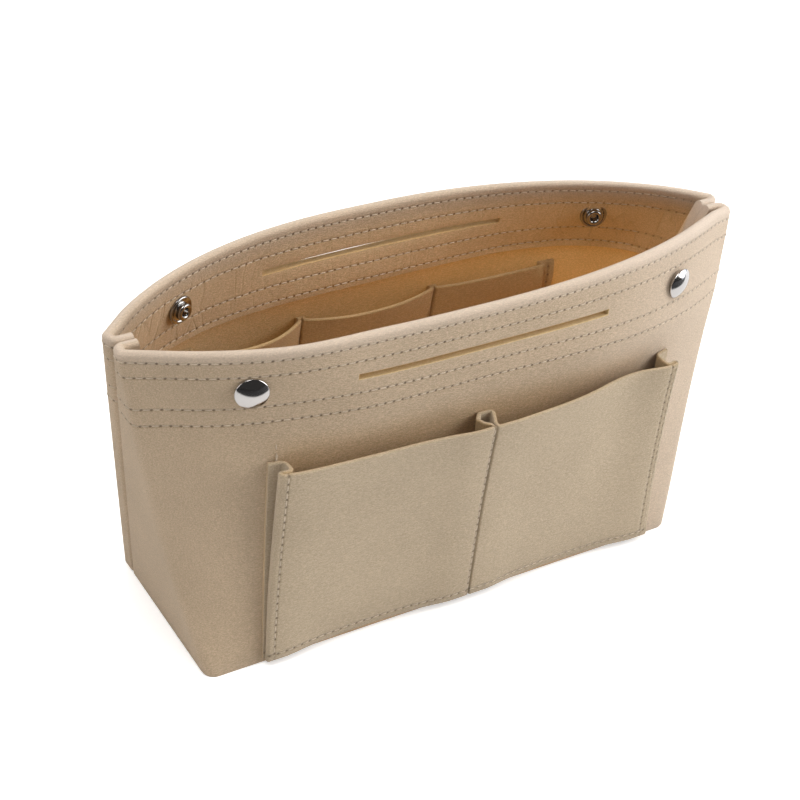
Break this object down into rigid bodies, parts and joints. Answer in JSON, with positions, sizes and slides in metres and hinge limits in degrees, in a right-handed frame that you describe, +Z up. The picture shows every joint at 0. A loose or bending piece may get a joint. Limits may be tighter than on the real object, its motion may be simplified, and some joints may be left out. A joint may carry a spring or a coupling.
{
  "type": "purse organizer insert",
  "caption": "Soft felt box insert with a pointed oval rim, pleated slip pockets outside and inside, hand slots and press snaps that pinch its ends shut.",
  "frame": {"origin": "middle of the underside, halfway between the feet of the end walls and of the long walls", "axes": "+Z up, X along the long walls, -Y out of the front wall that carries the two outer pockets"},
  "size_m": [0.2802, 0.1006, 0.1466],
  "materials": {
    "wall_felt": "matte needle felt, beige",
    "pocket_felt": "matte needle felt, beige",
    "chrome": "polished plating",
    "spring_steel": "bare spring wire"
  },
  "bodies": {
    "shell": {"front_panel": "wall_felt", "rear_panel": "wall_felt", "base_panel": "wall_felt", "outer_pocket_left_pleat": "pocket_felt", "outer_pocket_middle_pleat": "pocket_felt", "outer_pocket_right_pleat": "pocket_felt", "inner_pocket_left_end": "pocket_felt", "inner_pocket_left_divide": "pocket_felt", "inner_pocket_right_divide": "pocket_felt", "inner_pocket_right_end": "pocket_felt"},
    "left_front_snap": {"snap_cap_front_left": "chrome", "snap_socket_left": "chrome", "snap_spring_left": "spring_steel"},
    "left_rear_snap": {"snap_cap_rear_left": "chrome", "snap_stud_left": "chrome"},
    "right_front_snap": {"snap_cap_front_right": "chrome", "snap_socket_right": "chrome", "snap_spring_right": "spring_steel"},
    "right_rear_snap": {"snap_cap_rear_right": "chrome", "snap_stud_right": "chrome"},
    "outer_left_face": {"outer_pocket_left_face": "pocket_felt"},
    "outer_right_face": {"outer_pocket_right_face": "pocket_felt"},
    "inner_left_face": {"inner_pocket_left_face": "pocket_felt"},
    "inner_middle_face": {"inner_pocket_middle_face": "pocket_felt"},
    "inner_right_face": {"inner_pocket_right_face": "pocket_felt"}
  },
  "joints": [
    {"name": "left_front_pinch", "type": "hinge", "parent": "shell", "child": "left_front_snap", "pos_m": [-0.17053, 0.00078, 0.12794], "axis": [0.0565, 0.1228, 0.9908], "range_deg": [0, 17.6], "stiffness_Nm_per_rad": 0.02, "deforming": ["front_panel"]},
    {"name": "left_rear_pinch", "type": "hinge", "parent": "shell", "child": "left_rear_snap", "pos_m": [-0.16028, 0.00433, 0.14216], "axis": [-0.259, 0.0622, -0.9639], "range_deg": [0, 22.93], "stiffness_Nm_per_rad": 0.02, "deforming": ["rear_panel"]},
    {"name": "right_front_pinch", "type": "hinge", "parent": "shell", "child": "right_front_snap", "pos_m": [0.17053, 0.00078, 0.12794], "axis": [0.0565, -0.1228, -0.9908], "range_deg": [0, 17.6], "stiffness_Nm_per_rad": 0.02, "deforming": ["front_panel"]},
    {"name": "right_rear_pinch", "type": "hinge", "parent": "shell", "child": "right_rear_snap", "pos_m": [0.16028, 0.00433, 0.14216], "axis": [-0.259, -0.0622, 0.9639], "range_deg": [0, 22.93], "stiffness_Nm_per_rad": 0.02, "deforming": ["rear_panel"]},
    {"name": "outer_left_pocket", "type": "hinge", "parent": "shell", "child": "outer_left_face", "pos_m": [-0.0425, -0.0405, 0.0025], "axis": [1, 0, 0], "range_deg": [-3, 7], "stiffness_Nm_per_rad": 0.03, "deforming": ["outer_pocket_left_pleat", "outer_pocket_middle_pleat"]},
    {"name": "outer_right_pocket", "type": "hinge", "parent": "shell", "child": "outer_right_face", "pos_m": [0.0525, -0.0405, 0.0025], "axis": [1, 0, 0], "range_deg": [-3, 7], "stiffness_Nm_per_rad": 0.03, "deforming": ["outer_pocket_right_pleat", "outer_pocket_middle_pleat"]},
    {"name": "inner_left_pocket", "type": "hinge", "parent": "shell", "child": "inner_left_face", "pos_m": [-0.0615, 0.0355, 0.009], "axis": [1, 0, 0], "range_deg": [-2.5, 7], "stiffness_Nm_per_rad": 0.03, "deforming": ["inner_pocket_left_end", "inner_pocket_left_divide"]},
    {"name": "inner_middle_pocket", "type": "hinge", "parent": "shell", "child": "inner_middle_face", "pos_m": [0.0005, 0.0375, 0.009], "axis": [1, 0, 0], "range_deg": [-2.5, 7], "stiffness_Nm_per_rad": 0.03, "deforming": ["inner_pocket_left_divide", "inner_pocket_right_divide"]},
    {"name": "inner_right_pocket", "type": "hinge", "parent": "shell", "child": "inner_right_face", "pos_m": [0.0615, 0.0355, 0.009], "axis": [1, 0, 0], "range_deg": [-2.5, 7], "stiffness_Nm_per_rad": 0.03, "deforming": ["inner_pocket_right_divide", "inner_pocket_right_end"]}
  ],
  "couplings": [
    {"joint": "left_rear_pinch", "follows": "left_front_pinch", "ratio": 1.3024},
    {"joint": "right_rear_pinch", "follows": "right_front_pinch", "ratio": 1.3024}
  ]
}
